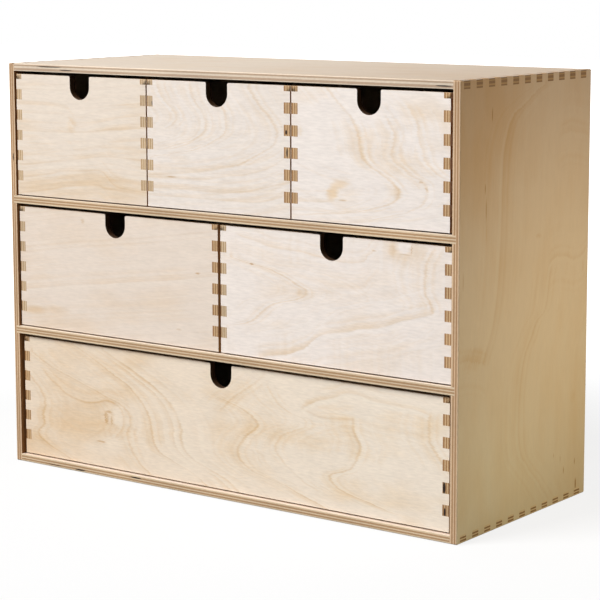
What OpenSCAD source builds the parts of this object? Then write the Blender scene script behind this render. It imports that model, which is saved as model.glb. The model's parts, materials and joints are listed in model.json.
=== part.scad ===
// Desktop cabinet with six small drawers, made of thin birch plywood.
// The cabinet is box-jointed at its four corners, the shelves are housed in its sides,
// and the back sits in grooves. Each drawer is a box-jointed tray with a finger notch.
// Millimetres. X runs to the right, Y to the back, Z up. The origin is the middle of the
// underside.

/* [Cabinet] */
// Overall width
cabinet_w = 420; // [360:1:600]
// Overall depth, front to back
cabinet_d = 180; // [140:1:260]
// Overall height
cabinet_h = 320; // [260:1:420]
// Thickness of the sides, top, bottom and shelves
board_t = 6; // [5:0.5:9]
// How far a shelf sits into each side
housing_depth = 3; // [2:0.25:3.5]

/* [Back panel] */
// Thickness of the back panel
back_t = 3; // [2.5:0.25:4]
// From the rear edges of the boards forward to the back panel
back_inset = 5; // [4:0.25:7]
// Depth of the groove that holds the back panel
back_groove = 3; // [2:0.25:3.5]

/* [Box joints] */
// Width of one finger, and of the gap between two
finger_w = 8; // [6:0.5:10]
// From the front edge of a panel, or the top edge of a drawer, to the first finger
finger_start = 4; // [3:0.5:6]

/* [Drawers] */
// Thickness of the drawer walls
wall_t = 5.5; // [4.5:0.25:7]
// Air left behind the row whose fronts stand furthest in, ahead of the back panel
rear_clearance = 1; // [0.5:0.25:6]
// Air above a drawer, under the board over it
headroom = 2.4; // [1:0.1:5]
// Air under a drawer, over the board it runs on
run_clearance = 0.3; // [0.1:0.05:0.5]
// Gap from a cabinet side to the outermost drawer, in the middle and top rows
side_gap = 1.25; // [0.5:0.25:4]
// Gap at each end of the bottom row
bottom_gap = 2.5; // [0.5:0.25:4]
// Gap between the two drawers of the middle row
middle_gap = 2.5; // [0.5:0.25:4]
// Gap between two drawers of the top row
top_gap = 1.25; // [0.5:0.25:4]
// Gap at the right end of the top row, whose drawers stand to the left
top_end_gap = 2.5; // [0.5:0.25:4]
// How far the fronts of the top row stand behind the cabinet's front edges
top_recess = 1.1; // [0.5:0.1:2.5]
// How far the fronts of the middle row stand behind the cabinet's front edges
middle_recess = 2; // [0.5:0.1:2.5]
// How far the front of the bottom row stands behind the cabinet's front edges
bottom_recess = 3; // [0.5:0.1:3.5]

/* [Drawer bases] */
// Thickness of a drawer's base
base_t = 3; // [2:0.25:4]
// From the drawer's bottom edge up to its base
base_lift = 4; // [3:0.25:6]
// Depth of the groove that holds the base
base_groove = 2.5; // [1.5:0.25:3]
// Least height of plain wall between the base and the lowest joint finger
base_land = 4; // [3:0.25:6]

/* [Finger notch] */
// Width of the notch in each drawer front
notch_w = 20; // [16:0.5:26]
// Depth of the notch, down to the bottom of its round end
notch_depth = 18; // [14:0.5:24]
// Radius that eases the two corners at the notch's mouth
notch_mouth_r = 1.2; // [0.5:0.1:3]

/* [Fits] */
// Air between the edge of a thin panel and the bottom of its groove
panel_fit = 0.2; // [0.1:0.05:0.5]

/* [Hidden] */
$fn = 64;
// Cuts run past the face that they open by this much
over = 1;
birch_face = "#E9DAC6";
birch_tan = "#C4A67C";
birch_inside = "#DCC7A6";

// The rows from the bottom up: recess of the fronts, gaps at the left end, between two
// drawers and at the right end, and the drawers from left to right
ROWS = [
    [bottom_recess, [bottom_gap, 0, bottom_gap], ["bottom_drawer"]],
    [middle_recess, [side_gap, middle_gap, side_gap],
     ["middle_left_drawer", "middle_right_drawer"]],
    [top_recess, [side_gap, top_gap, top_end_gap],
     ["top_left_drawer", "top_centre_drawer", "top_right_drawer"]]
];

inner_w = cabinet_w - 2 * board_t;
back_y = cabinet_d - back_inset - back_t;
bay_h = (cabinet_h - (len(ROWS) + 1) * board_t) / len(ROWS);
bay_pitch = bay_h + board_t;
drawer_h = bay_h - headroom - run_clearance;
// All drawers are equally long
drawer_d = back_y - max(top_recess, middle_recess, bottom_recess) - rear_clearance;
finger_pitch = 2 * finger_w;

// Where the fingers start along an edge, as far as the last one that ends by last_end
function finger_places(first, last_end) =
    [for (s = first; s + finger_w <= last_end; s = s + finger_pitch) s];

// Fingers of the top and bottom panels, from the front, ahead of the back panel's groove
panel_fingers = finger_places(finger_start, back_y);
// Fingers of the drawer sides, from the top edge down, clear of the base.
// The first is cut off by the top edge, so that only finger_start of it is left.
wall_fingers = finger_places(
    finger_start - finger_w, drawer_h - base_lift - base_t - base_land);

// Width of each drawer in a row of n with such gaps
function drawer_width(n, gaps) = (inner_w - gaps[0] - (n - 1) * gaps[1] - gaps[2]) / n;
// Middle of drawer i in that row, measured from the cabinet's middle
function drawer_x(n, gaps, i) =
    gaps[0] - inner_w / 2 + (i + 0.5) * drawer_width(n, gaps) + i * gaps[1];
// Underside of a drawer in row r
function drawer_z(r) = board_t + r * bay_pitch + run_clearance;

// Each drawer: name, width, and the middle of its front face's bottom edge
DRAWERS = [
    for (r = [0 : len(ROWS) - 1])
        let (recess = ROWS[r][0], gaps = ROWS[r][1], names = ROWS[r][2], n = len(names))
            for (i = [0 : n - 1])
                [names[i], drawer_width(n, gaps),
                 [drawer_x(n, gaps, i), recess, drawer_z(r)]]
];

// A block centred on X that starts at y and z
module block(w, d, h, y = 0, z = 0) {
    translate([-w / 2, y, z]) cube([w, d, h]);
}

// The drawers are placed from the cabinet's front edges, which lie at -cabinet_d / 2
module from_front() {
    translate([0, -cabinet_d / 2, 0]) children();
}

// ---- Cabinet ----

// Groove for the back panel, as one block that every board around it is cut by
module back_panel_space(fit) {
    block(inner_w + 2 * (back_groove - fit), back_t,
          cabinet_h - 2 * (board_t - back_groove + fit), back_y, board_t - back_groove + fit);
}

// Top or bottom panel, with its underside at z
module end_panel(z) {
    from_front() difference() {
        union() {
            block(inner_w, cabinet_d, board_t, 0, z);
            for (s = panel_fingers) block(cabinet_w, finger_w, board_t, s, z);
        }
        back_panel_space(0);
    }
}

module top_panel() {
    color(birch_face) end_panel(cabinet_h - board_t);
}

module bottom_panel() {
    color(birch_face) end_panel(0);
}

// Shelf under the row r, housed in both sides, ending at the back panel
module shelf(r) {
    color(birch_face) from_front()
        block(inner_w + 2 * housing_depth, back_y, board_t, 0, r * bay_pitch);
}

module shelf_lower() {
    shelf(1);
}

module shelf_upper() {
    shelf(2);
}

module side_right() {
    color(birch_tan) from_front() difference() {
        translate([inner_w / 2, 0, 0]) cube([board_t, cabinet_d, cabinet_h]);
        // sockets for the fingers of the top and bottom panels
        for (s = panel_fingers) {
            translate([inner_w / 2 - over, s, cabinet_h - board_t])
                cube([board_t + 2 * over, finger_w, board_t + over]);
            translate([inner_w / 2 - over, s, -over])
                cube([board_t + 2 * over, finger_w, board_t + over]);
        }
        // housings for the shelves
        for (r = [1 : len(ROWS) - 1])
            translate([inner_w / 2 - over, -over, r * bay_pitch])
                cube([housing_depth + over, back_y + over, board_t]);
        back_panel_space(0);
    }
}

module side_left() {
    mirror([1, 0, 0]) side_right();
}

module back_panel() {
    color(birch_inside) from_front() back_panel_space(panel_fit);
}

// ---- Drawers: the origin is the middle of the front face's bottom edge ----

// Sockets that the fingers of the two sides leave in a drawer's front or back
module wall_sockets(w) {
    for (s = wall_fingers, x = [-w / 2 - over, w / 2 - wall_t])
        translate([x, -over, drawer_h - s - finger_w])
            cube([wall_t + over, wall_t + 2 * over, finger_w]);
}

// Space of the base panel, which the four walls are grooved for
module base_space(w, fit) {
    reach = base_groove - wall_t - fit;
    block(w + 2 * reach, drawer_d + 2 * reach, base_t, -reach, base_lift);
}

// Front or back wall of a drawer, without the notch
module end_wall(w) {
    difference() {
        block(w, wall_t, drawer_h);
        wall_sockets(w);
        base_space(w, 0);
    }
}

// Outline of the finger notch, with the front's top edge at y = 0
module notch_outline() {
    notch_r = notch_w / 2;
    translate([0, notch_r - notch_depth]) circle(r = notch_r);
    translate([-notch_r, notch_r - notch_depth]) square([notch_w, notch_depth - notch_r + over]);
    // eased corners at the mouth
    difference() {
        translate([-notch_r - notch_mouth_r, -notch_mouth_r])
            square([notch_w + 2 * notch_mouth_r, notch_mouth_r + over]);
        for (x = [-notch_r - notch_mouth_r, notch_r + notch_mouth_r])
            translate([x, -notch_mouth_r]) circle(r = notch_mouth_r);
    }
}

module drawer_front(w) {
    color(birch_face) difference() {
        end_wall(w);
        translate([0, wall_t + over, drawer_h]) rotate([90, 0, 0])
            linear_extrude(wall_t + 2 * over) notch_outline();
    }
}

module drawer_back(w) {
    color(birch_inside) translate([0, drawer_d, 0]) mirror([0, 1, 0]) end_wall(w);
}

// Right side of a drawer: a wall between front and back, and its fingers through both
module drawer_right(w) {
    color(birch_inside) difference() {
        translate([w / 2 - wall_t, 0, 0]) union() {
            translate([0, wall_t, 0]) cube([wall_t, drawer_d - 2 * wall_t, drawer_h]);
            for (s = wall_fingers) {
                finger_top = drawer_h - max(s, 0);
                finger_bottom = drawer_h - s - finger_w;
                translate([0, 0, finger_bottom])
                    cube([wall_t, drawer_d, finger_top - finger_bottom]);
            }
        }
        base_space(w, 0);
    }
}

module drawer_left(w) {
    mirror([1, 0, 0]) drawer_right(w);
}

module drawer_base(w) {
    color(birch_inside) base_space(w, panel_fit);
}

module place(d) {
    from_front() translate(d[2]) children();
}

side_left();
side_right();
top_panel();
bottom_panel();
shelf_lower();
shelf_upper();
back_panel();
for (d = DRAWERS) {
    place(d) drawer_front(d[1]);
    place(d) drawer_back(d[1]);
    place(d) drawer_left(d[1]);
    place(d) drawer_right(d[1]);
    place(d) drawer_base(d[1]);
}
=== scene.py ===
# %% [markdown]
# # Desktop mini drawers in birch plywood
# The real thing is a small chest of six drawers, glued up from thin birch plywood with box
# joints, sanded and left bare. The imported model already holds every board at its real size, so
# this lesson gives each board what a joiner's last hour gives it: eased edges, a veneer with
# its own figure, and the layered edge that plywood shows wherever it is cut.

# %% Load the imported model
import json
import math

import bmesh
import bpy
from mathutils import Matrix, Vector


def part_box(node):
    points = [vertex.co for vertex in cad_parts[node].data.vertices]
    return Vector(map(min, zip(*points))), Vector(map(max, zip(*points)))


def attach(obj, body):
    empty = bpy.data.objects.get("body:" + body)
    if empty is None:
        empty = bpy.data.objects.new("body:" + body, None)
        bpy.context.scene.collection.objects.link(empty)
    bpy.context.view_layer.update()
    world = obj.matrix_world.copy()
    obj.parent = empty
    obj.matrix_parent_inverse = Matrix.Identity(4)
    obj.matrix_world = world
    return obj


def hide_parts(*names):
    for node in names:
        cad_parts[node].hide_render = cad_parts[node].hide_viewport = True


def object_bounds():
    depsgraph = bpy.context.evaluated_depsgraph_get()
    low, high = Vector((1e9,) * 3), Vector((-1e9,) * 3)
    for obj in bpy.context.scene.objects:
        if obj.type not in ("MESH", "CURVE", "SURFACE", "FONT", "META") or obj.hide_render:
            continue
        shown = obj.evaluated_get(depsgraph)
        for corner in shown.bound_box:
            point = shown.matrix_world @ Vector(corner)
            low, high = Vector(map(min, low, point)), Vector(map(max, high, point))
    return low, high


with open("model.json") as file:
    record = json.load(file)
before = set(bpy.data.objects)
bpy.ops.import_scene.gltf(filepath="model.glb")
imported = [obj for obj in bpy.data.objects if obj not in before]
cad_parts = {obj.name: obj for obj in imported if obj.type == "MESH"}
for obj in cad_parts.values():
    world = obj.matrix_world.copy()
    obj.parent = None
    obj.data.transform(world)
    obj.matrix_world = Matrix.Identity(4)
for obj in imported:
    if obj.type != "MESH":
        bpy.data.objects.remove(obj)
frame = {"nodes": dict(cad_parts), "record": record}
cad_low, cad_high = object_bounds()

MM = 0.001
print("cabinet", [round((h - l) / MM) for l, h in zip(cad_low, cad_high)], "mm")

# %% [markdown]
# ## The camera
# The photograph was taken from the front right, a little above the top board, with a long lens
# that keeps the cabinet's edges almost parallel. A lens of about 125 mm on a 36 mm sensor from
# 1.6 m away gives the same foreshortening of front and side. The small downward shift keeps the
# uprights straighter than tilting alone would.

# %% Camera
CAMERA_AT = Vector((952.2, -1269.2, 401.1)) * MM
CAMERA_AZIMUTH = math.radians(36.62)
CAMERA_TILT = math.radians(8.05)
CAMERA_ROLL = math.radians(-0.11)
SENSOR_WIDTH, LENS = 36, 124.6
SHIFT_DOWN = 0.08
FARTHEST_SEEN = 50

bpy.ops.object.select_all(action="DESELECT")
bpy.ops.object.camera_add(location=CAMERA_AT)
camera = bpy.context.object
camera.name = "camera"
camera.data.sensor_width = SENSOR_WIDTH
camera.data.lens = LENS
camera.data.shift_y = -SHIFT_DOWN
camera.data.clip_end = FARTHEST_SEEN
towards_camera = Vector((
    math.sin(CAMERA_AZIMUTH) * math.cos(CAMERA_TILT),
    -math.cos(CAMERA_AZIMUTH) * math.cos(CAMERA_TILT),
    math.sin(CAMERA_TILT)))
camera.rotation_mode = "QUATERNION"
camera.rotation_quaternion = (
    Matrix.Rotation(CAMERA_ROLL, 3, towards_camera)
    @ (-towards_camera).to_track_quat("-Z", "Y").to_matrix()).to_quaternion()
bpy.context.scene.camera = camera
print("camera", round(CAMERA_AT.length, 2), "m away, with a lens of", LENS, "mm")

# %% [markdown]
# ## Adding nodes, and colours
# Every material below is a node tree written in code. One helper adds a node, sets its
# properties, links or sets its inputs, and hands back the output that is wanted. Three more
# shorten the kinds that come up most. Colours are written as the sRGB hex values that a paint
# program shows, and turned to the linear light that the renderer counts in.

# %% Node and colour helpers
def add(tree, kind, inputs=None, take=0, **settings):
    """Adds a shader node of a kind, such as Math, and returns one of its outputs."""
    made = tree.nodes.new("ShaderNode" + kind)
    for name, value in settings.items():
        setattr(made, name, value)
    for key, value in (inputs or {}).items():
        if isinstance(value, bpy.types.NodeSocket):
            tree.links.new(value, made.inputs[key])
        else:
            made.inputs[key].default_value = value
    return made.outputs[take] if len(made.outputs) else made


def maths(tree, operation, *values):
    """Arithmetic on numbers, or on the sockets that carry them."""
    return add(tree, "Math", dict(enumerate(values)), operation=operation)


def vector_maths(tree, operation, *values, take=0):
    """Arithmetic on vectors. A length comes from output 1."""
    return add(tree, "VectorMath", dict(enumerate(values)), take, operation=operation)


def map_range(tree, value, low, high, to_low=0, to_high=1, **settings):
    """The value moved from the range low to high into another, and cut off at its ends."""
    return add(tree, "MapRange", {"Value": value, "From Min": low, "From Max": high,
                                  "To Min": to_low, "To Max": to_high}, **settings)


def colour(code):
    """Linear RGBA of an sRGB hex value such as #E9DACA."""
    parts = [int(code[i:i + 2], 16) / 255 for i in (1, 3, 5)]
    return [p / 12.92 if p <= 0.04045 else ((p + 0.055) / 1.055) ** 2.4 for p in parts] + [1]


# A Mix node that is set to colours, with its sockets for them
MIX_A, MIX_B = 6, 7
COLOURS = dict(take=2, data_type="RGBA")
SMOOTH = dict(interpolation_type="SMOOTHSTEP")
print("#808080 is", round(colour("#808080")[0], 3), "in linear light")

# %% [markdown]
# ## Floor and light
# The cabinet stands on white in soft light. One large softbox, high up at the front left, lights
# the fronts and the top. A small warm one, low at the right, gives the side its tan and never
# reaches the fronts, so gaps and notches stay dark. Another small one, low behind, shows on the
# rear only. The world is white to the camera and glows only a little into the room, so the wood
# keeps its colour. The floor is grey paper to the light that bounces off it. To the camera it is
# mostly plain white with a share of its own shading, so that a faint shadow stays around the
# cabinet, and further out it fades to pure white.

# %% Floor
FLOOR_SIZE = 12
FLOOR_DROP = 0.2 * MM
FLOOR_GREY = "#8C8C8C"
FLOOR_SHADOW_SHARE = 0.5
# The white that the camera sees, so strong that it adds up to pure white with the lit floor
FLOOR_WHITE = 1.68
# The shading fades out between these distances, in metres
FADE_FROM, FADE_TO = 0.35, 1.1

bpy.ops.object.select_all(action="DESELECT")
bpy.ops.mesh.primitive_plane_add(size=FLOOR_SIZE, location=(0, 0, -FLOOR_DROP))
floor = bpy.context.object
floor.name = "floor"

floor_paper = bpy.data.materials.new("white_backdrop_paper")
floor_paper.use_nodes = True
tree = floor_paper.node_tree
tree.nodes.clear()
lit = add(tree, "BsdfDiffuse", {"Color": colour(FLOOR_GREY)})
white = add(tree, "Emission", {"Color": colour("#FFFFFF"), "Strength": FLOOR_WHITE})
seen = add(tree, "LightPath", take="Is Camera Ray")
middle = add(tree, "TexCoord", take="Object")
from_cabinet = vector_maths(tree, "LENGTH", middle, take=1)
whiteness = map_range(tree, from_cabinet, FADE_FROM, FADE_TO, 1 - FLOOR_SHADOW_SHARE, **SMOOTH)
white_share = maths(tree, "MULTIPLY", seen, whiteness)
shown = add(tree, "MixShader", {0: white_share, 1: lit, 2: white})
add(tree, "OutputMaterial", {"Surface": shown})
floor.data.materials.append(floor_paper)
print("floor", FLOOR_SIZE, "m wide,", FLOOR_DROP / MM, "mm below the cabinet")

# %% World and softboxes
FILL_LEVEL = 0.03
KEY_POWER = 416
SIDE_POWER = 0.40
SIDE_TINT = "#FFE9C8"
SIDE_SPREAD = math.radians(80)
BACK_POWER = 11

world = bpy.data.worlds.new("studio")
bpy.context.scene.world = world
world.use_nodes = True
tree = world.node_tree
tree.nodes.clear()
rays = add(tree, "LightPath").node.outputs
shows_white = maths(tree, "MAXIMUM", rays["Is Camera Ray"], rays["Is Glossy Ray"])
shows_white = maths(tree, "MAXIMUM", shows_white, rays["Is Transmission Ray"])
level = map_range(tree, shows_white, 0, 1, FILL_LEVEL)
glow = add(tree, "Background", {"Color": colour("#FFFFFF"), "Strength": level})
add(tree, "OutputWorld", {"Surface": glow})


def softbox(name, place, aim, size, power, tint="#FFFFFF"):
    """A square area light that faces the point aim, and stays out of the picture."""
    bpy.ops.object.select_all(action="DESELECT")
    bpy.ops.object.light_add(type="AREA", location=place)
    lamp = bpy.context.object
    lamp.name = name
    lamp.data.size = size
    lamp.data.energy = power
    lamp.data.color = colour(tint)[:3]
    lamp.visible_camera = False
    lamp.rotation_mode = "QUATERNION"
    lamp.rotation_quaternion = (Vector(aim) - Vector(place)).to_track_quat("-Z", "Y")
    return lamp


softbox("key_softbox", (-1.8, -3.4, 4.0), (0, 0, 0.16), 2.6, KEY_POWER)
side_lamp = softbox("side_softbox", (0.72, 0.16, 0.17), (0.21, 0.03, 0.12), 0.22, SIDE_POWER,
                    tint=SIDE_TINT)
side_lamp.data.spread = SIDE_SPREAD
softbox("back_softbox", (-0.4, 1.6, 0.15), (0, 0.09, 0.15), 0.3, BACK_POWER)
bpy.context.scene.view_settings.view_transform = "Standard"

# %% [markdown]
# ## Easing the edges
# A plywood box comes off the machine with knife-sharp arrises, and sandpaper takes them down.
# The outer edges of the cabinet are rounded by about a millimetre, drawer edges and the rim of
# each finger notch by less. The fingers of a box joint are sanded flush and keep their sharp
# lines, and the fronts are planed a little short at the bottom. Each board is a copy of its
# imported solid: the triangles are merged into whole faces, the edges that a hand reaches are
# found by their place, and only those are bevelled.

# %% Copy a board
MERGE_WITHIN = 1e-6
FLAT_WITHIN = math.radians(1)


def board_copy(node, name):
    """A copy of a packed board, with its loose triangles merged into whole flat faces."""
    bpy.ops.object.select_all(action="DESELECT")
    board = bpy.data.objects.new(name, frame["nodes"][node].data.copy())
    bpy.context.scene.collection.objects.link(board)
    board.data.materials.clear()
    board.select_set(True)
    bpy.context.view_layer.objects.active = board
    bpy.ops.object.mode_set(mode="EDIT")
    bpy.ops.mesh.select_all(action="SELECT")
    bpy.ops.mesh.remove_doubles(threshold=MERGE_WITHIN)
    bpy.ops.mesh.dissolve_limited(angle_limit=FLAT_WITHIN)
    bpy.ops.object.mode_set(mode="OBJECT")
    return board


# %% Find arrises and ease them
ON_PLANE = 2e-5
SHARP_FROM = math.radians(50)
SMOOTH_BELOW = math.radians(40)
ARRIS_SEGMENTS = 3


def planes_shared(edge, low, high):
    """How many of a box's six faces the whole edge lies on."""
    count = 0
    for axis in range(3):
        for limit in (low[axis], high[axis]):
            if all(abs(v.co[axis] - limit) < ON_PLANE for v in edge.verts):
                count += 1
    return count


def ease(board, radius, wanted):
    """Rounds the outward edges of a board that wanted(edge) picks."""
    bpy.ops.object.mode_set(mode="EDIT")
    bpy.ops.mesh.select_mode(type="EDGE")
    bpy.ops.mesh.select_all(action="DESELECT")
    shape = bmesh.from_edit_mesh(board.data)
    for edge in shape.edges:
        sharp = len(edge.link_faces) == 2 and edge.calc_face_angle_signed() > SHARP_FROM
        edge.select_set(sharp and wanted(edge))
    bmesh.update_edit_mesh(board.data)
    if board.data.total_edge_sel:
        bpy.ops.mesh.bevel(offset=radius, segments=ARRIS_SEGMENTS, affect="EDGES",
                           clamp_overlap=True)
    bpy.ops.object.mode_set(mode="OBJECT")


def settle_normals(board):
    """Smooth arrises between flat faces."""
    bpy.ops.object.shade_smooth_by_angle(angle=SMOOTH_BELOW)
    bpy.ops.object.modifier_add(type="WEIGHTED_NORMAL")
    board.modifiers[-1].keep_sharp = True
    bpy.ops.object.modifier_apply(modifier=board.modifiers[-1].name)


def mark_ply_depth(board, node, axis):
    """Stores how deep in the board's thickness each point lies, in millimetres."""
    low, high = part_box(node)
    depth = board.data.attributes.new("ply_depth", "FLOAT", "POINT")
    for vertex in board.data.vertices:
        depth.data[vertex.index].value = (vertex.co[axis] - low[axis]) / MM


# %% Ease every board
X, Y, Z = 0, 1, 2
CABINET_ARRIS = 1.0 * MM
OPENING_ARRIS = 0.3 * MM
DRAWER_ARRIS = 0.35 * MM
SOLE_RELIEF = 0.8 * MM
NOTCH_ARRIS = 0.5 * MM
LONG_EDGE = 20 * MM
# A notch's rim lies within this much of the middle of the front, and of its top edge
NOTCH_REACH, NOTCH_DEPTH = 11.5 * MM, 18.5 * MM

THICKNESS = {"side_left": X, "side_right": X, "top_panel": Z, "bottom_panel": Z,
             "shelf_lower": Z, "shelf_upper": Z, "back_panel": Y}
DRAWER_THICKNESS = {"front": Y, "back": Y, "left": X, "right": X, "base": Z}

boards = {}
for node in frame["record"]["behaviour"]["bodies"]["cabinet"]:
    board = board_copy(node, node + "_board")
    ease(board, CABINET_ARRIS, lambda e: planes_shared(e, cad_low, cad_high) >= 2)
    ease(board, OPENING_ARRIS, lambda e: e.calc_length() > LONG_EDGE and all(
        abs(v.co.y - cad_low.y) < ON_PLANE for v in e.verts))
    settle_normals(board)
    mark_ply_depth(board, node, THICKNESS[node])
    boards[node] = board

drawers = [name for name in frame["record"]["behaviour"]["bodies"] if name != "cabinet"]
for drawer in drawers:
    parts = [f"{drawer}_{part}" for part in DRAWER_THICKNESS]
    boxes = [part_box(node) for node in parts]
    low = Vector([min(b[0][i] for b in boxes) for i in range(3)])
    high = Vector([max(b[1][i] for b in boxes) for i in range(3)])
    for part, axis in DRAWER_THICKNESS.items():
        node = f"{drawer}_{part}"
        board = board_copy(node, node + "_board")
        ease(board, DRAWER_ARRIS, lambda e: planes_shared(e, low, high) >= 2)
        if part == "front":
            ease(board, NOTCH_ARRIS, lambda e: all(
                abs(v.co.x - (low.x + high.x) / 2) < NOTCH_REACH
                and v.co.z > high.z - NOTCH_DEPTH for v in e.verts))
            # Plane it short, so that it never rubs on the board below
            for vertex in board.data.vertices:
                if vertex.co.z < low.z + DRAWER_ARRIS + ON_PLANE:
                    vertex.co.z += SOLE_RELIEF
        settle_normals(board)
        mark_ply_depth(board, node, axis)
        boards[node] = board
print(len(boards), "boards,", sum(len(b.data.polygons) for b in boards.values()), "faces")

# %% [markdown]
# ## What makes birch look like birch
# The boards are faced with rotary-cut veneer: the log is peeled like an apple, so the growth
# rings meet the surface at a shallow angle and wander over it as contour lines do on a map.
# Each ring is pale where the spring wood starts, turns honey-coloured, and ends in a fine brown
# line. Sanding leaves a dry, silky surface with short fibres and nothing shiny.
#
# All of that is gathered in two numbers here. The tone of the wood runs from 0, the palest
# spring wood, over 1, a strong ring line, to 1.6, the heart of a knot. Its warmth is how far it
# has turned to honey. Rings, clouds and knots each add to the two, and only the end of the
# chain turns them into colour, so that they never clash in hue.

# %% From tone to colour
BIRCH_TONES = ((0.00, "#F8F3EE"), (0.30, "#EFE6DF"), (0.50, "#E6D9CC"), (0.75, "#D7C1AA"),
               (1.00, "#B9966F"), (1.30, "#7C5A3C"), (1.60, "#42301F"))
DARKEST_TONE = BIRCH_TONES[-1][0]
HONEY = "#F8E9D0"


def fill_ramp(ramp_output, stops):
    """Gives a colour ramp its (position, colour) stops."""
    elements = ramp_output.node.color_ramp.elements
    elements[0].position, elements[0].color = stops[0]
    elements[1].position, elements[1].color = stops[-1]
    for position, tint in stops[1:-1]:
        elements.new(position).color = tint
    return ramp_output


def tinted(tree, base, tint, share=1.0):
    """base with a share of the tint multiplied in."""
    return add(tree, "Mix", {0: share, MIX_A: base, MIX_B: tint}, **COLOURS, blend_type="MULTIPLY")


def birch_colour(tree, wood, tint):
    """Colour of sanded birch from its (tone, warmth), under a tint of its own."""
    parts = add(tree, "SeparateXYZ", {0: wood}).node.outputs
    place = maths(tree, "DIVIDE", parts[0], DARKEST_TONE)
    stops = [(tone / DARKEST_TONE, colour(code)) for tone, code in BIRCH_TONES]
    pale = fill_ramp(add(tree, "ValToRGB", {"Fac": place}), stops)
    warm = add(tree, "Clamp", {0: parts[1]})
    return tinted(tree, tinted(tree, pale, colour(HONEY), warm), tint)


print(len(BIRCH_TONES), "tones, from", BIRCH_TONES[0][1], "to", BIRCH_TONES[-1][1])


# %% Board coordinates and small noises
NOISE_MIDDLE = 0.5


def board_place(tree, along, across, through, origin=(0, 0)):
    """Object coordinates in millimetres, as sockets named for the board's own directions.

    origin is where the counting starts, along and across the grain.
    """
    metres = add(tree, "TexCoord", take="Object")
    start = [0, 0, 0]
    start[along], start[across] = -origin[0], -origin[1]
    mm = vector_maths(tree, "MULTIPLY_ADD", metres, (1 / MM,) * 3, start)
    parts = add(tree, "SeparateXYZ", {0: mm}).node.outputs
    return {"along": parts[along], "across": parts[across], "through": parts[through]}


def grain_noise(tree, place, length, width, detail=2.0, seed=0.0):
    """Noise from 0 to 1 whose blotches are length by width mm, stretched along the grain."""
    along = maths(tree, "DIVIDE", place["along"], length)
    across = maths(tree, "DIVIDE", place["across"], width)
    through = maths(tree, "MULTIPLY_ADD", place["through"], 1 / width, seed)
    scaled = add(tree, "CombineXYZ", {0: along, 1: across, 2: through})
    return add(tree, "TexNoise", {"Vector": scaled, "Scale": 1.0, "Detail": detail})


def add_scaled(tree, base, noise, scale):
    """The base with a scaled noise added, which takes away as often as it adds."""
    moved = maths(tree, "SUBTRACT", noise, NOISE_MIDDLE)
    return maths(tree, "MULTIPLY_ADD", moved, scale, base)


def add_wood(tree, wood, share, tone, warmth):
    """The wood with a share of some tone and warmth added."""
    return vector_maths(tree, "MULTIPLY_ADD", share, (tone, warmth, 0), wood)


# %% [markdown]
# ## Growth rings
# A ring line is written down the way it would be drawn: a smooth curve through a few points,
# in millimetres on the board. Rings that run side by side share one curve, a little further on
# for each. What counts is the distance from that curve, measured along one direction of the
# board. One ramp holds both numbers, the tone in its red and the warmth in its green: the wood
# slowly turns to honey towards the line, darkens at it, and is pale right behind it.

# %% A curve through a few points
def curve_of(tree, run, points):
    """A smooth curve through (run, value) points in millimetres, as a socket."""
    runs, values = zip(*points)
    low, high = min(values), max(max(values), min(values) + 1)
    place = map_range(tree, run, runs[0], runs[-1])
    curve = add(tree, "FloatCurve", {"Value": place})
    knots = curve.node.mapping.curves[0].points
    shape = [((r - runs[0]) / (runs[-1] - runs[0]), (v - low) / (high - low))
             for r, v in points]
    knots[0].location, knots[1].location = shape[0], shape[-1]
    for x, y in shape[1:-1]:
        knots.new(x, y)
    curve.node.mapping.update()
    return map_range(tree, curve, 0, 1, low, high)


# %% One ramp for a few rings
# A ramp holds nothing below 0, so the middle of its range stands for no change
RING_ZERO = 0.5
RING_DEPTH, RING_WARMTH = 0.34, 0.8
# Shares of a ring's tone and warmth shortly before its line, and right behind it
HONEY_SIDE, PALE_SIDE = (0.35, 0.7), (-0.25, -0.1)
# Share of the wood between two lines that leads up to the second
LEAD_SHARE = 0.6


def ring_stops(lines, lead, width, tail):
    """Ramp stops for (offset, strength) lines, and the stretch of distances they cover."""
    first, last = lines[0][0] - lead, lines[-1][0] + tail
    heights = {first: (0, 0), last: (0, 0)}
    for i, (at, strength) in enumerate(lines):
        before = min(lead, LEAD_SHARE * (at - lines[i - 1][0])) if i else lead
        room = (1 - LEAD_SHARE) * (lines[i + 1][0] - at) if i + 1 < len(lines) else tail
        after = min(tail, room)
        tone, warmth = RING_DEPTH * strength, RING_WARMTH * strength
        heights[at - before] = (0, 0)
        heights[at - min(width, before / 2)] = (HONEY_SIDE[0] * tone, HONEY_SIDE[1] * warmth)
        heights[at] = (tone, warmth)
        heights[at + min(width, after / 2)] = (PALE_SIDE[0] * tone, PALE_SIDE[1] * warmth)
        heights[at + after] = (0, 0)
    stops = [((at - first) / (last - first),
              (RING_ZERO + tone / 2, RING_ZERO + warmth / 2, RING_ZERO, 1))
             for at, (tone, warmth) in sorted(heights.items())]
    return stops, first, last


# %% Rings that follow a curve
# A ramp has room for 32 stops, and a line takes up to five
LINES_PER_RAMP = 5
# Rings come up over this stretch at both ends of their run, in millimetres
FADE_OUTSIDE, FADE_INSIDE = 6, 2
BANDS_REACH, BAND_GAP = 40.0, 5.0
BAND_TONE, BAND_WARMTH = 0.18, 1.2


def band_noise(tree, distance, gap, detail):
    """Noise from -0.5 to 0.5, in bands about a gap apart."""
    bands = maths(tree, "DIVIDE", distance, gap)
    bands = add(tree, "TexNoise", {"W": bands, "Scale": 1.0, "Detail": detail},
                noise_dimensions="1D")
    return maths(tree, "SUBTRACT", bands, NOISE_MIDDLE)


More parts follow.
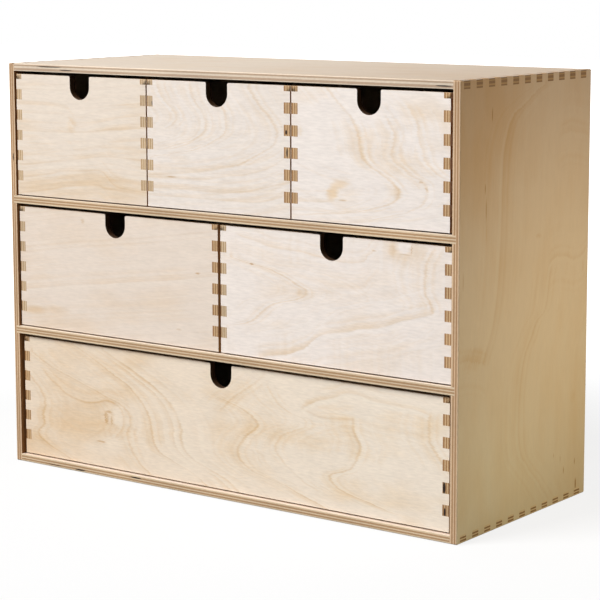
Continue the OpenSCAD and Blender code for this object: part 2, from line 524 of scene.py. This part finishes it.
def rings(tree, wood, place, path, lines, vigour, run="across", pale=1, lead=12, width=3.0,
          tail=9, fade=None):
    """Adds ring lines that follow a path, and returns the wood and the distance from it.

    run is "across" for rings that cross the grain and "along" for rings that follow it.
    lines holds (offset, strength) pairs, or the strength of one line that has no offset.
    pale=-1 puts the pale side below the line. lead, width and tail are how far the wood
    changes before, at and behind it, and fade is the stretch of the run to keep to.
    """
    if not isinstance(lines, tuple):
        lines = ((0, lines),)
    other = "along" if run == "across" else "across"
    curve = curve_of(tree, place[run], path)
    distance = maths(tree, "SUBTRACT", place[other], curve)
    ordered = sorted((at * pale, strength) for at, strength in lines)
    gap = maths(tree, "ABSOLUTE", distance)
    near = map_range(tree, gap, BANDS_REACH, 0, **SMOOTH)
    if fade:
        for edge, inside in ((fade[0], 1), (fade[1], -1)):
            reach = map_range(tree, place[run], edge - FADE_OUTSIDE * inside,
                              edge + FADE_INSIDE * inside, **SMOOTH)
            vigour = maths(tree, "MULTIPLY", vigour, reach)
            near = maths(tree, "MULTIPLY", near, reach)
    for start in range(0, len(ordered), LINES_PER_RAMP):
        group = ordered[start:start + LINES_PER_RAMP]
        stops, first, last = ring_stops(group, lead, width, tail)
        spot_on = map_range(tree, distance, pale * first, pale * last)
        ramp = fill_ramp(add(tree, "ValToRGB", {"Fac": spot_on}), stops)
        ramp.node.color_ramp.interpolation = "EASE"
        height = vector_maths(tree, "SUBTRACT", ramp, (RING_ZERO,) * 3)
        wood = vector_maths(tree, "MULTIPLY_ADD", height, vigour, wood)
    # Fainter bands run alongside, and die away from the drawn lines
    bands = band_noise(tree, distance, BAND_GAP, detail=2.0)
    bands = maths(tree, "MULTIPLY", bands, near)
    return add_wood(tree, wood, bands, BAND_TONE, BAND_WARMTH), distance


# %% Knots and streaks
def mark(tree, flat, at, size, edge=0.6):
    """Cover, 0 to 1, of a soft-edged spot such as a knot or a streak, of size (along, across)."""
    offset = vector_maths(tree, "SUBTRACT", flat, (at[0], at[1], 0))
    offset = vector_maths(tree, "MULTIPLY", offset, (2 / size[0], 2 / size[1], 0))
    radius = vector_maths(tree, "LENGTH", offset, take=1)
    return map_range(tree, radius, 1 + edge, 1 - edge, **SMOOTH)


# %% [markdown]
# ## The veneer
# Every face gets the same layers: the rings drawn for it, faint rings between them that follow
# the same curve, cloudy patches, knots and streaks, and fibres about a millimetre wide. The
# fibres of real birch are far finer than this, but anything finer would vanish in the picture.
# Rings that cross the fibres look ragged, because the cut follows the fibres a little way, so
# the place where a ring is looked up is shaken along the grain.

# %% Veneer colour
# Tone and warmth of plain birch
PLAIN_BIRCH = (0.30, 0.04, 0)
# Length and width of the blotches of each noise, in millimetres
SWAY_SIZE, SHAKE_SIZE = (34, 20), (7, 0.9)
CLOUD_SIZE, VIGOUR_SIZE = (55, 24), (45, 22)
FIBRE_SIZE, SILK_SIZE = (6.5, 1.3), (18, 6)
SHAKE_REACH = 5.0
CLOUD_TONE, CLOUD_WARMTH = 0.10, 2.0
# The drawn rings are fainter in some places and bolder in others. This part of a noise tells.
VIGOUR_NOISE = (0.3, 0.6)
LEAST_VIGOUR, MOST_VIGOUR = 0.4, 1.35
SHEEN_LEVEL = 0.985


def veneer(tree, place, families=(), marks=(), tint="#FFFFFF", tint_end=None, tint_span=(0, 1),
           faint=0.09, faint_gap=4.0, sway=3.0, clouds=0.5, fleck=0.24):
    """Colour socket of a veneered face, and its fibres.

    marks are (place, size, tone, warmth). The tint may turn into tint_end over tint_span,
    along the grain. faint, clouds and fleck say how much the faint rings, the patches and
    the fibres show.
    """
    sway_noise = grain_noise(tree, place, *SWAY_SIZE).node
    shake = grain_noise(tree, place, *SHAKE_SIZE, seed=3.1)
    along = add_scaled(tree, place["along"], sway_noise.outputs["Fac"], 2 * sway)
    along = add_scaled(tree, along, shake, SHAKE_REACH)
    across_sway = add(tree, "SeparateXYZ", {0: sway_noise.outputs["Color"]}, take=1)
    across = add_scaled(tree, place["across"], across_sway, sway)
    swayed = {"along": along, "across": across, "through": place["through"]}
    flat = add(tree, "CombineXYZ", {0: along, 1: across})

    cloud = grain_noise(tree, place, *CLOUD_SIZE, seed=11.3)
    cloud = maths(tree, "SUBTRACT", cloud, NOISE_MIDDLE)
    wood = add_wood(tree, PLAIN_BIRCH, cloud, CLOUD_TONE * clouds, CLOUD_WARMTH * clouds)
    vigour = grain_noise(tree, place, *VIGOUR_SIZE, detail=1, seed=7.7)
    vigour = map_range(tree, vigour, *VIGOUR_NOISE, LEAST_VIGOUR, MOST_VIGOUR)
    distance = across
    for family in families:
        wood, gap = rings(tree, wood, swayed, vigour=vigour, **family)
        if family is families[0]:
            distance = gap
    faint_rings = band_noise(tree, distance, faint_gap, detail=1.5)
    wood = add_wood(tree, wood, faint_rings, faint, 1.5 * faint)
    for at, size, tone, warmth in marks:
        wood = add_wood(tree, wood, mark(tree, flat, at, size), tone, warmth)

    shade = colour(tint)
    if tint_end:
        share = map_range(tree, place["along"], *tint_span)
        shade = add(tree, "Mix", {0: share, MIX_A: colour(tint), MIX_B: colour(tint_end)},
                    **COLOURS)
    surface = birch_colour(tree, wood, shade)
    # Fibres catch the light or don't, and change the brightness rather than the hue
    fibres = grain_noise(tree, place, *FIBRE_SIZE, seed=5.0)
    silk = grain_noise(tree, place, *SILK_SIZE, seed=9.0)
    sheen = add_scaled(tree, SHEEN_LEVEL, fibres, fleck)
    sheen = add_scaled(tree, sheen, silk, 0.5 * fleck)
    return tinted(tree, surface, sheen), fibres


# %% [markdown]
# ## The cut edges
# Plywood alternates the direction of its plies. Where a saw has cut across the fibres, their
# open ends drink in dust and finish and look brown. Where it has cut along them they stay
# cream. So every edge is striped, and the stripes swap places between the long edges of a board
# and its ends, which is why the finger ends stand out brown on the pale faces. The depth in the
# board comes from the stored attribute, and the surface's direction tells one cut from another.

# %% Ply stripes
# Half the width of a glue line, in millimetres
GLUE_LINE = 0.10


def ply_stripes(tree, depth, thickness, bounds, outer, inner, glue="#7A5434"):
    """Colour across the thickness: outer and inner plies in turn, with glue lines between."""
    share = maths(tree, "DIVIDE", depth, thickness)
    soft = GLUE_LINE / thickness
    edges = (0.0,) + tuple(b / thickness for b in bounds) + (1.0,)
    stops = []
    for i in range(len(edges) - 1):
        ply = colour(outer if i % 2 == 0 else inner)
        stops += [(edges[i] + soft * (i > 0), ply),
                  (edges[i + 1] - soft * (i + 2 < len(edges)), ply)]
        if i + 2 < len(edges):
            stops.append((edges[i + 1], colour(glue)))
    return fill_ramp(add(tree, "ValToRGB", {"Fac": share}), stops)


def facing(tree, parts, direction, least, full):
    """0 to 1 as the surface comes to face along a board direction, either way."""
    size = maths(tree, "ABSOLUTE", parts[direction])
    return map_range(tree, size, least, full, **SMOOTH)


# %% The sawn edge of a board
# Length and width of the streaks and of the sheets' own shades, and how much they show
STREAK_SIZE, SHEET_SIZE = (2.5, 1.2), (70, 40)
STREAK_SHARE, SHEET_SHARE = 0.30, 0.35
EDGE_LEVEL = 0.97
# Core voids are holes, painted dark as the shade inside them
VOID_SHADE = "#1C0E05"
# Painted shade on the rim of a finger notch, and how far it reaches
NOTCH_RIM_SHADE, NOTCH_RIM_SHADE_SIZE = "#5C4C40", (36, 50)


def sawn_edge(tree, place, long_edge, end_edge, on_end):
    """Colour of the edges: one set of stripes on the long ones, another on the ends."""
    edge = add(tree, "Mix", {0: on_end, MIX_A: long_edge, MIX_B: end_edge}, **COLOURS)
    # Streaks in the cut fibres, and core plies that differ from sheet to sheet
    streaks = grain_noise(tree, place, *STREAK_SIZE, seed=1.7)
    sheets = grain_noise(tree, place, *SHEET_SIZE, detail=0, seed=2.9)
    shade = add_scaled(tree, EDGE_LEVEL, streaks, STREAK_SHARE)
    shade = add_scaled(tree, shade, sheets, SHEET_SHARE)
    return tinted(tree, edge, shade)


def add_voids_and_rim_shade(tree, edge, elevation, voids, notch):
    """The edge with holes in its core, painted dark as the shade in them, and painted shade on the
    rim of a finger notch.
    """
    for at, size in voids:
        edge = add(tree, "Mix", {0: mark(tree, elevation, at, size, edge=0.2), MIX_A: edge,
                                 MIX_B: colour(VOID_SHADE)}, **COLOURS)
    if notch:
        # Painted shade on the rim of the notch
        rim_shade = mark(tree, elevation, notch, NOTCH_RIM_SHADE_SIZE, edge=0.1)
        edge = tinted(tree, edge, colour(NOTCH_RIM_SHADE), rim_shade)
    return edge


# %% One birch plywood, many boards
LONG_CUT = ("#DAC4A4", "#B18C68")
END_CUT = ("#A87D50", "#D2B184")
# Where one ply ends and the next begins, in millimetres
FIVE_PLY = (1.45, 2.50, 3.50, 4.60)
THREE_PLY = (0.9, 2.1)
# How squarely a surface faces a direction, from not counting to counting fully
FACES_END, FACES_OUT, FACES_IN = (0.5, 0.7), (0.55, 0.75), (0.7, 0.9)
ROUGHNESS = (0.50, 0.66)
# Fibres stand a few hundredths of a millimetre proud after sanding
FIBRE_HEIGHT, FIBRE_RELIEF = 0.06 * MM, 0.35


def birch_plywood(name, along, across, through, thickness=6.0, plies=FIVE_PLY,
                  long_cut=LONG_CUT, end_cut=END_CUT, voids=(), notch=None, inside=None,
                  origin=(0, 0), **figure):
    """Material of a birch plywood board with its grain along one axis.

    voids are ((x, z), (width, height)) of holes in the core plies, seen from the front, painted
    dark as the shade inside them.
    notch is where a finger notch is: its rim gets painted shade.
    inside is the (sign, tint) of painted shade on a face that looks into the cabinet or a gap.
    """
    material = bpy.data.materials.new("birch_plywood_" + name)
    material.use_nodes = True
    tree = material.node_tree
    tree.nodes.clear()
    place = board_place(tree, along, across, through, origin)
    face, fibres = veneer(tree, place, **figure)

    normal = add(tree, "TexCoord", take="Normal")
    parts = add(tree, "SeparateXYZ", {0: normal}).node.outputs
    # Painted shade on the faces that look into the cabinet or a gap
    if inside:
        sign, shade_tint = inside
        inward_shade = map_range(tree, maths(tree, "MULTIPLY", parts[through], sign), *FACES_IN)
        face = tinted(tree, face, colour(shade_tint), inward_shade)

    depth = add(tree, "Attribute", take="Fac", attribute_name="ply_depth")
    long_edge = ply_stripes(tree, depth, thickness, plies, *long_cut)
    end_edge = ply_stripes(tree, depth, thickness, plies, *end_cut)
    on_end = facing(tree, parts, along, *FACES_END)
    edge = sawn_edge(tree, place, long_edge, end_edge, on_end)
    sockets = {along: place["along"], across: place["across"], through: place["through"]}
    elevation = add(tree, "CombineXYZ", {0: sockets[X], 1: sockets[Z]})
    edge = add_voids_and_rim_shade(tree, edge, elevation, voids, notch)

    # Sanding bares fresh veneer as far round the arris as its middle
    on_face = facing(tree, parts, through, *FACES_OUT)
    surface = add(tree, "Mix", {0: on_face, MIX_A: edge, MIX_B: face}, **COLOURS)
    roughness = map_range(tree, fibres, 0, 1, *ROUGHNESS)
    relief = add(tree, "Bump", {"Height": fibres, "Strength": FIBRE_RELIEF,
                                "Distance": FIBRE_HEIGHT})
    wood = add(tree, "BsdfPrincipled", {"Base Color": surface, "Roughness": roughness,
                                        "Normal": relief, "Specular IOR Level": 0.35})
    add(tree, "OutputMaterial", {"Surface": wood})
    return material


# %% [markdown]
# ## Six fronts, six figures
# A joiner picks the veneers for the fronts, because that is what people look at. Here the lower
# drawer has a knot and bold contour rings, the drawer above it on the right an arrow, the top
# right one a deep S-curve, the top middle one nested arcs, and the two on the left quiet lines
# that run with the grain. Places are in millimetres from the cabinet's left side and from the
# floor, as they would be read off a front elevation.

# %% Veneer for one front
WALL_THICKNESS = 5.5
# The fronts stand a little behind the cabinet's front edges. Seen from the right they appear
# shifted, so each row counts from its own line. With it comes the height of the row's notches.
ROWS = {"bottom": (-212.2, 94), "middle": (-211.5, 199), "top": (-210.8, 303.6)}
# Rings that run along the grain are finer than those that cross it
FINE = dict(run="along", lead=4, width=1.6, tail=4)

front_wood = {}


def veneer_front(name, notch_at, families, marks, **figure):
    """Makes the plywood of one front, which is named for its place in the chest."""
    start, notch_height = ROWS[name.partition("_")[0]]
    front_wood[name + "_drawer_front"] = birch_plywood(
        name + "_front", X, Z, Y, thickness=WALL_THICKNESS, origin=(start, 0),
        notch=(notch_at, notch_height), families=families, marks=marks, **figure)
    print(name, "front:", len(families), "families of rings,", len(marks), "marks")


# %% Bottom: a knot and bold contours
veneer_front(
    "bottom", notch_at=212.2, tint="#F8EDDB", tint_end="#FFFAEE", tint_span=(60, 360), faint=0.06,
    clouds=0.9,
    families=(
        dict(lines=((0, 0.9), (12, 0.3), (23, 0.6), (31, 0.95), (46, 0.4), (60, 0.2)),
             width=4, path=(
            (6, 199), (14, 187), (22, 164), (30, 148), (40, 143), (50, 142), (60, 137), (70, 126),
            (80, 108), (90, 88), (101, 62))),
        dict(lines=0.7, fade=(8, 92), path=(
            (8, 142), (20, 126), (28, 121), (37, 118), (45, 121), (52, 120), (58, 113),
            (62.5, 99), (68, 81), (74, 61), (81, 39), (90, 18))),
        dict(FINE, lines=0.9, fade=(30, 106), lead=6, width=1.8, path=(
            (20, 85), (34, 74), (44, 67), (58, 59), (73, 56), (86, 57), (99, 60), (109, 57.5),
            (116, 52))),
        dict(lines=0.4, fade=(28, 56), lead=7, width=2, tail=5, path=(
            (24, 90), (28, 96), (33, 106), (40, 113), (50, 114.5), (57, 109))),
        dict(lines=0.95, fade=(8, 76), path=(
            (7, 310), (13, 290), (19, 270), (23, 250), (27, 238), (33, 230), (40, 227), (45, 230),
            (52, 236), (57, 243), (61, 246), (66, 242), (70, 235), (74, 222), (79, 202))),
        dict(lines=1.0, fade=(16, 75), path=(
            (12, 375), (18, 345), (22, 325), (26, 316), (31, 311), (34, 313), (37, 322),
            (41, 330), (45, 333), (52, 336), (58, 338), (62, 337), (68, 333), (76, 331))),
        dict(lines=0.5, fade=(22, 92), path=(
            (20, 300), (28, 281), (38, 268), (46, 262), (54, 266), (62, 280), (68, 290),
            (74, 275), (82, 262), (92, 256))),
        dict(lines=0.6, fade=(70, 100), path=(
            (66, 210), (70, 214), (78, 222), (84, 232), (90, 241), (98, 252))),
        dict(FINE, lines=0.6, fade=(289, 330), path=(
            (284, 79), (295, 76), (305, 74), (318, 75), (334, 76.5))),
        dict(FINE, lines=0.7, fade=(289, 395), pale=-1, lead=5, path=(
            (284, 76), (300, 85), (315, 90), (333, 94.5), (350, 92), (375, 91), (390, 90),
            (399, 83))),
        dict(lines=0.75, fade=(47, 88), path=(
            (44, 420), (50, 412), (58, 405), (64, 400), (70, 397), (80, 396), (90, 398))),
        dict(lines=0.8, lead=8, path=(
            (7, 62), (13, 46), (19, 32), (26, 24.5), (33, 30.5), (41, 29.5), (49, 32), (58, 29.5),
            (68, 19.5), (78, 8)))),
    marks=(
        ((97.6, 46.5), (3, 8), 0.45, 0.3), ((97.8, 46.8), (1.4, 4.5), -0.4, 0),
        ((100.6, 51.8), (4.5, 2.2), 0.35, 0.3), ((102.6, 45), (2.0, 6.0), 0.25, 0.2),
        ((92.5, 27), (8, 1.3), 0.4, 0.3), ((78, 44), (80, 34), 0.05, 0.45),
        ((110, 50), (10, 16), -0.09, -0.30), ((104, 26), (14, 10), -0.10, -0.4),
        ((178, 38), (44, 50), -0.05, -0.4), ((22, 14), (50, 20), 0.05, 0.4),
        ((213, 79), (36, 10), 0.055, 0.26), ((210, 60), (16, 20), 0.03, 0.14)))

# %% Middle left: quiet lines
veneer_front(
    "middle_left", notch_at=109.5, tint="#F6EFE6", faint=0.12, faint_gap=2.2, sway=1.5, fleck=0.18,
    families=(
        dict(FINE, lines=((0, 0.12), (18, 0.12), (-14, 0.15), (34, 0.1), (-30, 0.1)), width=1,
             tail=3, path=(
            (8, 140), (70, 149), (140, 158), (208, 168))),),
    marks=(
        ((191, 169), (4.2, 1.5), 0.45, 0.3), ((23, 125), (22, 6), 0.10, 0.5),
        ((48, 127), (22, 6), 0.05, 0.3), ((60, 118), (80, 14), 0.03, 0.25),
        ((76, 199.5), (3.2, 3.4), 0.24, 0.2), ((172.5, 124.5), (4.5, 1.5), 0.2, 0.2),
        ((120, 135), (120, 20), 0.02, 0.15)))

# %% Middle right: an arrow
veneer_front(
    "middle_right", notch_at=313.5, tint="#FFFDFB",
    families=(
        dict(lines=((-22, 0.2), (0, 0.6)), fade=(135, 184), lead=11, width=4, path=(
            (133, 218), (138, 241), (148, 253), (154, 263), (158.5, 280), (164, 290), (169, 281),
            (174, 270), (178.5, 256), (181, 241), (184, 222))),
        dict(FINE, lines=0.65, fade=(250, 398), pale=-1, lead=6, width=1.8, path=(
            (225, 108), (248, 112), (260, 115), (275, 118), (283, 121), (291, 124), (300, 132),
            (308, 136), (325, 139), (341, 143), (358, 146), (375, 152), (388, 156), (397, 159),
            (404, 164))),
        dict(lines=0.55, fade=(160, 202), path=(
            (156, 397), (162, 398), (167, 396), (174, 392), (182, 391), (189, 392), (198, 396),
            (206, 402))),
        dict(FINE, lines=0.45, fade=(232, 350), path=(
            (228, 201.5), (250, 197), (263, 194), (283, 193.5), (301, 191), (325, 189),
            (338, 190), (346, 196), (353, 203)))),
    marks=(
        ((243, 180.8), (3.4, 1.0), 0.6, 0.2), ((349.5, 199), (3.5, 1.0), 0.35, 0.2),
        ((375, 204), (30, 22), 0.10, 0.30), ((366, 201), (6, 9), 0.10, 0.30),
        ((376.5, 204), (11, 10), -0.14, -0.50), ((382.3, 203), (0.9, 7), 0.30, 0.2),
        ((377, 199), (8, 0.9), 0.25, 0.2), ((286, 163.5), (7, 5), 0.062, 0.3)))

# %% Top left: lines that run with the grain
veneer_front(
    "top_left", notch_at=75.0, tint="#F7F1E7", faint=0.10, faint_gap=2.4, sway=1.5, fleck=0.20,
    families=(
        dict(FINE, lines=((0, 0.35), (-7, 0.2), (-13, 0.3), (-18, 0.2)), width=1.5, tail=3,
             path=(
            (5, 267), (50, 267.5), (80, 269), (100, 271), (120, 273), (142, 275))),
        dict(FINE, lines=((0, 0.2), (9, 0.25), (-7, 0.2)), width=1.5, tail=3, path=(
            (5, 281), (50, 281), (60, 280), (66, 276), (72, 273), (85, 275), (100, 278),
            (120, 282), (142, 285))),
        dict(FINE, lines=((0, 0.5), (-5, 0.15)), width=1.5, tail=3, path=(
            (5, 240), (20, 241), (40, 243.5), (60, 246), (75, 248), (90, 250), (110, 251),
            (142, 250))),
        dict(FINE, lines=0.25, fade=(78, 124), width=1.5, tail=3, path=(
            (70, 285), (80, 286), (115, 291), (142, 293))),
        dict(FINE, lines=0.4, lead=5, tail=3, path=(
            (5, 229), (40, 234), (60, 238), (80, 239), (92, 240), (100, 237), (107, 231),
            (115, 228), (142, 226))),
        dict(FINE, lines=0.5, lead=5, tail=3, path=(
            (5, 217), (40, 222), (60, 225.5), (80, 228), (92, 229), (100, 227), (115, 226),
            (142, 224)))),
    marks=(
        ((66, 275), (9, 11), 0.05, 0.4), ((40, 224), (70, 14), 0.04, 0.2),
        ((85, 233), (60, 12), 0.05, 0.25), ((120, 222), (40, 9), 0.04, 0.2),
        ((70, 225), (150, 26), 0.02, 0.2)))

# %% Top centre: nested arcs
veneer_front(
    "top_centre", notch_at=210.2, tint="#FAF8F5", sway=2, faint=0.05, clouds=0.3,
    families=(
        dict(lines=0.4, fade=(254, 312), width=4, path=(
            (252, 230), (258, 241.7), (263.8, 253), (270.5, 262.5), (276, 264), (284.7, 260),
            (296, 250), (308, 239))),
        dict(lines=0.4, fade=(255, 299), path=(
            (254, 146), (256, 157), (258, 170), (262, 190), (268.8, 207), (276, 216.7),
            (283, 218), (289.7, 217), (296, 213), (303, 207))),
        dict(lines=0.3, fade=(262, 308), path=(
            (259.5, 150), (262, 163), (264.7, 172), (268.8, 188), (274.7, 197.5), (281, 199),
            (289.7, 195), (298, 188), (308, 184))),
        dict(lines=0.2, fade=(278, 308), path=(
            (275, 150), (279.7, 168), (284.7, 171), (289.7, 168), (298, 158), (308, 153))),
        dict(FINE, lines=0.35, fade=(140, 236), lead=5, width=2, path=(
            (134, 239), (150, 240.5), (168, 242), (195, 245.5), (215, 248.8), (230, 252),
            (241, 257))),
        dict(FINE, lines=0.35, width=2, tail=3, path=(
            (142, 238), (160, 239), (195, 239.7), (220, 243), (240, 246), (256.7, 251),
            (271.7, 259.7), (280, 266))),
        dict(FINE, lines=0.35, tail=3, path=(
            (142, 231), (190, 231), (211.7, 231), (233, 233), (248, 235.5), (265, 239.7),
            (280, 243))),
        dict(FINE, lines=0.3, tail=3, path=(
            (142, 225), (207, 225.5), (240, 226), (257, 228), (273, 233), (280, 236)))),
    marks=(
        ((166.5, 239.7), (8, 1.0), 0.4, 0.3), ((168, 285), (7, 9), 0.035, 0.17),
        ((172, 255), (20, 6), 0.03, 0.14)))

# %% Top right: a deep S-curve
veneer_front(
    "top_right", notch_at=345.3, tint="#FFFEFD", faint=0.06, clouds=0.8,
    families=(
        dict(lines=0.8, width=4.5, path=(
            (215, 250), (221, 295), (224, 325), (229, 351), (236, 367), (241, 370), (247, 366),
            (253, 356), (259, 344), (266, 339), (280, 336), (288, 332), (297, 323), (312, 307))),
        dict(FINE, lines=0.4, fade=(283, 328), lead=5, width=2.2, path=(
            (276, 260), (280, 258), (295, 252), (305, 249), (315, 247), (325, 245), (336, 243))),
        dict(lines=0.35, fade=(222, 290), width=4, path=(
            (220, 345), (226, 368), (230, 380), (235, 389), (240, 392), (245, 392), (250, 389),
            (254, 380), (258, 374), (262, 367), (268, 364), (274, 365), (280, 366), (286, 363),
            (294, 357))),
        dict(lines=0.3, fade=(256, 300), width=4, path=(
            (228, 410), (240, 420), (250, 412), (258, 400), (264, 392), (272, 389), (280, 386),
            (288, 385), (296, 381), (306, 374))),
        dict(FINE, lines=0.3, fade=(280, 312), path=(
            (276, 229), (295, 230), (314, 231))),
        dict(FINE, lines=0.3, path=(
            (276, 216), (320, 217), (345, 219), (370, 221), (412, 229)))),
    marks=(
        ((314, 237), (9, 9), 0.06, 0.9), ((319, 243.5), (14, 5), 0.03, 0.7),
        ((324, 232.3), (7, 1.0), 0.35, 0.3), ((389, 249.5), (3, 1.3), 0.3, 0.2),
        ((393, 245), (2.4, 2.4), 0.22, 0.2), ((369, 241), (6, 8), 0.05, 0.24),
        ((380, 297), (20, 9), 0.037, 0.18), ((286, 280), (5, 7), 0.062, 0.3)))

# %% [markdown]
# ## The cabinet's boards
# The sides are faced with a warmer, quieter veneer with its grain upright: two long rings that
# wander up the board, and a few dark mineral streaks. The top is plain, with fine lines from
# left to right. What nobody looks at is plainer still: shelves, drawer walls and thin panels
# have only clouds and faint rings.

# %% Sides, top, bottom and shelves
# Places on a side are counted up from the floor, and back from its front edge
SIDE_FIGURE = dict(
    origin=(0, -90), tint="#E3DFC0", tint_end="#EBDBC1", tint_span=(0, 320), faint=0.04,
    voids=(((-206.5, 246), (1.0, 6)),), long_cut=("#D8BA98", "#AD8660"), sway=2, fleck=0.08,
    families=(
        dict(run="along", lines=0.28, pale=-1, fade=(122, 312), path=(
            (110, 26), (127, 34), (140, 41), (157, 47), (180, 51), (220, 54), (245, 55),
            (270, 57.5), (280, 61), (289, 66), (301, 85), (312, 112))),
        dict(run="along", lines=0.35, fade=(10, 176), path=(
            (5, 126), (12, 120), (27, 105), (37, 94), (55, 82), (82, 81), (110, 85), (132, 97.5),
            (142, 105), (150, 117), (170, 122), (182, 126))),
        dict(lines=0.3, pale=-1, fade=(124, 176), lead=4, width=1, tail=4, path=(
            (120, 176), (127, 184), (135, 185.5), (150, 183), (160, 181), (178, 194))),
        dict(lines=0.3, fade=(-5, 33), lead=4, width=1, tail=4, path=(
            (-5, 127.5), (10, 128), (18, 126), (26, 124), (38, 119))),
        dict(lines=0.2, fade=(138, 185), lead=4, width=1, tail=4, path=(
            (134, 270), (150, 276), (160, 275), (186, 268)))),
    marks=(
        ((295, 41), (8, 1.1), 0.48, 0.3), ((244, 32.5), (6, 1.1), 0.44, 0.3),
        ((229, 34), (15, 1.2), 0.48, 0.3), ((214, 35), (12, 0.9), 0.075, 0.36),
        ((183, 5), (11, 1), 0.32, 0.3), ((24, 147.5), (6, 1), 0.6, 0.3),
        ((27, 164), (5, 1), 0.6, 0.3), ((9, 166), (8, 1.5), 0.75, 0.3),
        ((37.5, 132.5), (4, 1), 0.35, 0.2), ((33.5, 142.5), (5, 0.9), 0.35, 0.2),
        ((204, 106), (3, 7), 0.075, 0.36), ((78, 160), (8, 7), 0.035, 0.17),
        ((175, 172), (8, 2), 0.075, 0.36), ((205, 12), (22, 16), 0.02, 0.096),
        # The two largest patches leave the side darker and warmer towards its top front corner,
        # and paler near its bottom front
        ((310, 0), (160, 160), 0.10, 0.80), ((35, 175), (150, 60), 0.02, 0.3),
        ((128, 22), (14, 28), 0.07, 0.4), ((15, 35), (130, 130), -0.22, 0.15)))
# The faces that look into the cabinet get painted shade, a browner tint
INSIDE_SHADE = "#B08B62"
# The left side stands in a whiter light than the right one, so its veneer is a little redder
left_wood = birch_plywood("left_side", Z, Y, X, inside=(1, INSIDE_SHADE),
                          **dict(SIDE_FIGURE, tint="#ECDCC1", tint_end=None))
right_wood = birch_plywood("right_side", Z, Y, X, inside=(-1, INSIDE_SHADE), **SIDE_FIGURE)

top_wood = birch_plywood(
    "top", X, Y, Z, plies=(0.9, 2.3, 4.0, 5.0), long_cut=("#DCCBB5", "#B99E85"),
    end_cut=("#937049", "#B99666"), tint="#E9E0D2", tint_end="#D2C3AF", tint_span=(-60, 200),
    faint=0.10, faint_gap=2.0, sway=1.5,
    voids=(((-166.5, 318.05), (25, 0.8)), ((-149, 315.98), (13, 0.7)),
           ((196.5, 315.98), (13, 0.9))))

bottom_wood = birch_plywood(
    "bottom", X, Y, Z, tint="#F5EADF", end_cut=("#D8C498", "#8E7047"),
    voids=(((-140.7, 1.7), (11, 1.1)), ((-82.5, 4.1), (11, 1.0)), ((-168, 1.8), (16, 0.5))))
shelf_wood = birch_plywood("shelves", X, Y, Z, tint="#F7EEE2")
print("sides:", len(SIDE_FIGURE["families"]), "families of rings,", len(SIDE_FIGURE["marks"]),
      "marks")

# %% Drawer walls
PLAIN_TINT = "#F7EFE3"
WALL_VOIDS = (((197.4, 38.2), (2.2, 8.5)), ((198, 21), (1.6, 6)), ((62.9, 278.2), (1.6, 3.3)),
              ((63.6, 263.8), (1.3, 7)), ((-62.6, 294.1), (0.8, 3.5)))
WALL_BOARD = dict(thickness=WALL_THICKNESS, tint=PLAIN_TINT, voids=WALL_VOIDS)
WALL_ENDS, PALE_WALL_ENDS = ("#A2794F", "#CFB087"), ("#B89873", "#D6C0A0")
wall_wood = birch_plywood("drawer_sides", Y, Z, X, end_cut=WALL_ENDS, **WALL_BOARD)
pale_wall_wood = birch_plywood("pale_drawer_sides", Y, Z, X, end_cut=PALE_WALL_ENDS,
                               **WALL_BOARD)
# The two walls that face each other across the middle row's gap get painted shade there, a browner
# tint
GAP_SHADE = "#CBAC84"
MIDDLE_GAP_WOOD = {
    "middle_left_drawer_right": birch_plywood(
        "left_of_middle_gap", Y, Z, X, end_cut=WALL_ENDS, inside=(1, GAP_SHADE), **WALL_BOARD),
    "middle_right_drawer_left": birch_plywood(
        "right_of_middle_gap", Y, Z, X, end_cut=PALE_WALL_ENDS, inside=(-1, GAP_SHADE),
        **WALL_BOARD)}
rear_wood = birch_plywood("drawer_backs", X, Z, Y, thickness=WALL_THICKNESS, tint=PLAIN_TINT)

# %% Thin panels
THIN_BOARD = dict(thickness=3.0, plies=THREE_PLY, tint=PLAIN_TINT)
base_wood = birch_plywood("drawer_bases", X, Y, Z, **THIN_BOARD)
back_wood = birch_plywood("back", X, Z, Y, **THIN_BOARD)
print(sum(m.name.startswith("birch") for m in bpy.data.materials), "plywoods")

# %% [markdown]
# ## Putting the boards in place
# Each finished board rides on the body that its solid belongs to, stands in for that solid, and
# takes its own wood.

# %% Give every board its wood and its body
PALE_WALLS = ("top_left_drawer_left", "top_left_drawer_right", "top_centre_drawer_left",
              "middle_left_drawer_left")
OWN_WOOD = {"side_left": left_wood, "side_right": right_wood, "top_panel": top_wood,
            "bottom_panel": bottom_wood, "shelf_lower": shelf_wood, "shelf_upper": shelf_wood,
            "back_panel": back_wood, **front_wood, **MIDDLE_GAP_WOOD,
            **dict.fromkeys(PALE_WALLS, pale_wall_wood)}
# All other boards of the drawers
DRAWER_WOOD = {"back": rear_wood, "left": wall_wood, "right": wall_wood, "base": base_wood}

for body, nodes in frame["record"]["behaviour"]["bodies"].items():
    for node in nodes:
        part = node.rpartition("_")[2]
        board = boards[node]
        wood = OWN_WOOD[node] if node in OWN_WOOD else DRAWER_WOOD[part]
        board.data.materials.append(wood)
        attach(board, body)
        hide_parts(node)
